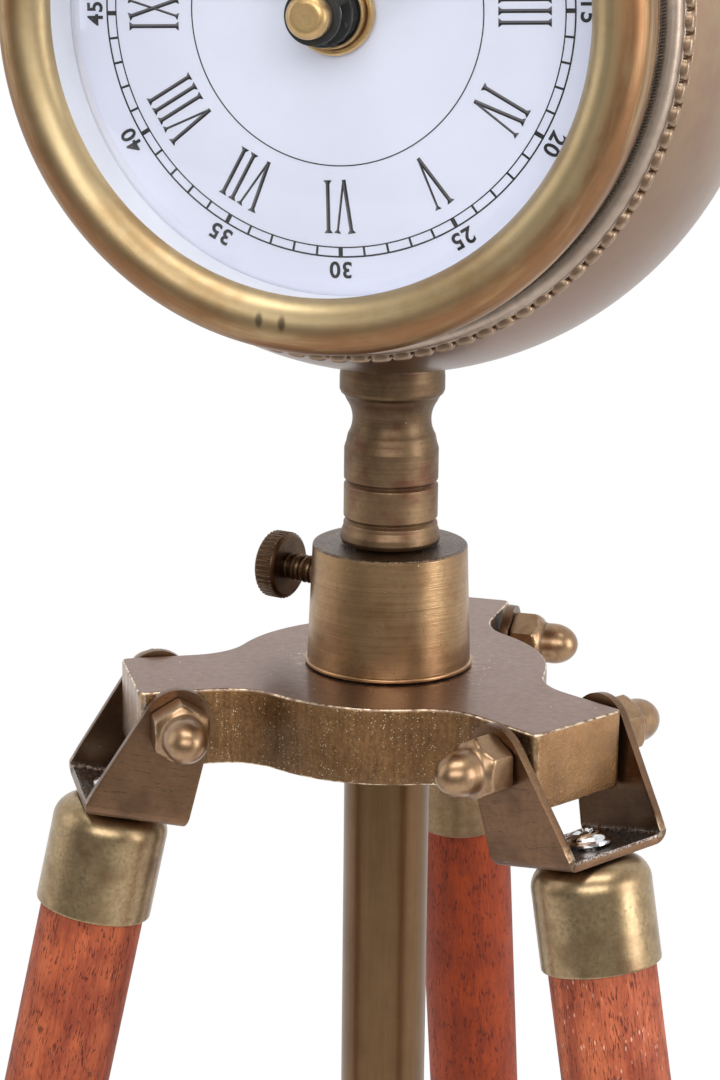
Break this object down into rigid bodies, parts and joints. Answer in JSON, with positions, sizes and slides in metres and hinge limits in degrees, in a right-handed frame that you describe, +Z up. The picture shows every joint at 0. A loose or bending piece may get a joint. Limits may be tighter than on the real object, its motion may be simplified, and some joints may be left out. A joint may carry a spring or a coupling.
{
  "type": "tripod desk clock",
  "caption": "Round brass desk clock with a beaded barrel case and domed glass, on a turned neck that slides and pans on a folding wooden tripod.",
  "frame": {"origin": "on the floor, under the middle of the footprint and case", "axes": "+Z up along the mast, the dial faces -Y, +X to the viewer's right"},
  "size_m": [0.154, 0.1358, 0.3556],
  "materials": {
    "antique_brass": "antiqued, brushed and lacquered",
    "polished_brass": "polished",
    "dark_brass": "blackened",
    "plate_brass": "sand cast, antiqued",
    "wood": "oiled hardwood with dark pores",
    "chrome": "bright plated",
    "steel": "plain",
    "glass": "clear",
    "dial_white": "matte white",
    "hand_black": "satin black",
    "black_plastic": "moulded",
    "white_plastic": "moulded",
    "copper": "enamelled wire",
    "circuit_green": "solder mask",
    "battery_jacket": "plain sleeve"
  },
  "bodies": {
    "stand": {"tripod_plate": "plate_brass", "socket": "antique_brass", "centre_tube": "antique_brass", "pivot_bolt_right": "steel", "pivot_bolt_left": "steel", "pivot_bolt_back": "steel", "cap_nut_right_a": "antique_brass", "cap_nut_right_b": "antique_brass", "cap_nut_left_a": "antique_brass", "cap_nut_left_b": "antique_brass", "cap_nut_back_a": "antique_brass", "cap_nut_back_b": "antique_brass"},
    "leg_right": {"leg_bracket_right": "antique_brass", "leg_screw_right": "chrome", "top_ferrule_right": "antique_brass", "wooden_leg_right": "wood", "foot_right": "antique_brass"},
    "leg_left": {"leg_bracket_left": "antique_brass", "leg_screw_left": "chrome", "top_ferrule_left": "antique_brass", "wooden_leg_left": "wood", "foot_left": "antique_brass"},
    "leg_back": {"leg_bracket_back": "antique_brass", "leg_screw_back": "chrome", "top_ferrule_back": "antique_brass", "wooden_leg_back": "wood", "foot_back": "antique_brass"},
    "clamp": {"thumb_screw": "antique_brass"},
    "mast": {"mast_rod": "antique_brass"},
    "head": {"neck_stem": "antique_brass", "stem_nut": "steel", "case_shell": "antique_brass", "beaded_band": "antique_brass", "knurled_band": "dark_brass", "bezel_ring": "polished_brass", "glass": "glass", "dial_ring": "dial_white", "dial_plate": "dial_white", "movement_base": "black_plastic", "movement_cover": "black_plastic", "fixing_nut": "polished_brass", "circuit_board": "circuit_green", "motor_coil": "copper", "motor_stator": "steel", "contact_positive": "steel", "contact_negative": "steel"},
    "back_cover": {"rear_cover": "antique_brass"},
    "cell": {"battery": "battery_jacket"},
    "minute_arbor": {"centre_wheel": "white_plastic", "minute_hand": "hand_black", "hand_cap": "polished_brass"},
    "hour_pipe": {"hour_wheel": "white_plastic", "hour_hand": "hand_black"},
    "motion_wheel": {"minute_wheel": "white_plastic"},
    "third_arbor": {"third_wheel": "white_plastic"},
    "second_arbor": {"second_wheel": "white_plastic"},
    "intermediate_arbor": {"intermediate_wheel": "white_plastic"},
    "motor_rotor": {"rotor": "steel"},
    "knob": {"setting_knob": "black_plastic"}
  },
  "joints": [
    {"name": "leg_right_fold", "type": "hinge", "parent": "stand", "child": "leg_right", "pos_m": [0.02858, -0.03634, 0.20389], "axis": [0.5, 0.866, 0], "range_deg": [0, 19]},
    {"name": "leg_left_fold", "type": "hinge", "parent": "stand", "child": "leg_left", "pos_m": [-0.02858, -0.03634, 0.20389], "axis": [0.5, -0.866, 0], "range_deg": [0, 19]},
    {"name": "leg_back_fold", "type": "hinge", "parent": "stand", "child": "leg_back", "pos_m": [0, 0.01316, 0.20389], "axis": [-1, 0, 0], "range_deg": [0, 19]},
    {"name": "clamp_turn", "type": "hinge", "parent": "stand", "child": "clamp", "pos_m": [0, -0.01984, 0.22059], "axis": [-0.9659, 0.2588, 0], "range_deg": [0, 360]},
    {"name": "mast_slide", "type": "slide", "parent": "stand", "child": "mast", "axis": [0, 0, 1], "range_m": [0, 0.06]},
    {"name": "head_pan", "type": "hinge", "parent": "mast", "child": "head", "pos_m": [0, -0.01984, 0.227], "axis": [0, 0, 1], "continuous": true},
    {"name": "back_cover_off", "type": "slide", "parent": "head", "child": "back_cover", "axis": [0, 1, 0], "range_m": [0, 0.008]},
    {"name": "cell_out", "type": "slide", "parent": "head", "child": "cell", "axis": [0, 1, 0], "range_m": [0, 0.02]},
    {"name": "minute_spin", "type": "hinge", "parent": "head", "child": "minute_arbor", "pos_m": [0, -0.01984, 0.30429], "axis": [0, 1, 0], "continuous": true},
    {"name": "hour_spin", "type": "hinge", "parent": "head", "child": "hour_pipe", "pos_m": [0, -0.01984, 0.30429], "axis": [0, 1, 0], "continuous": true},
    {"name": "motion_spin", "type": "hinge", "parent": "head", "child": "motion_wheel", "pos_m": [-0.0081, -0.01984, 0.30429], "axis": [0, 1, 0], "continuous": true},
    {"name": "third_spin", "type": "hinge", "parent": "head", "child": "third_arbor", "pos_m": [0.00799, -0.01984, 0.30719], "axis": [0, 1, 0], "continuous": true},
    {"name": "second_spin", "type": "hinge", "parent": "head", "child": "second_arbor", "pos_m": [0.01164, -0.01984, 0.31352], "axis": [0, 1, 0], "continuous": true},
    {"name": "intermediate_spin", "type": "hinge", "parent": "head", "child": "intermediate_arbor", "pos_m": [0.01803, -0.01984, 0.31584], "axis": [0, 1, 0], "continuous": true},
    {"name": "rotor_spin", "type": "hinge", "parent": "head", "child": "motor_rotor", "pos_m": [0.01591, -0.01984, 0.32167], "axis": [0, 1, 0], "continuous": true},
    {"name": "knob_turn", "type": "hinge", "parent": "head", "child": "knob", "pos_m": [-0.01383, -0.01984, 0.31002], "axis": [0, 1, 0], "continuous": true}
  ],
  "couplings": [
    {"joint": "hour_spin", "follows": "minute_spin", "ratio": 0.083333},
    {"joint": "motion_spin", "follows": "minute_spin", "ratio": -0.33333},
    {"joint": "knob_turn", "follows": "minute_spin", "ratio": 1},
    {"joint": "third_spin", "follows": "minute_spin", "ratio": -8},
    {"joint": "second_spin", "follows": "minute_spin", "ratio": 60}
  ]
}
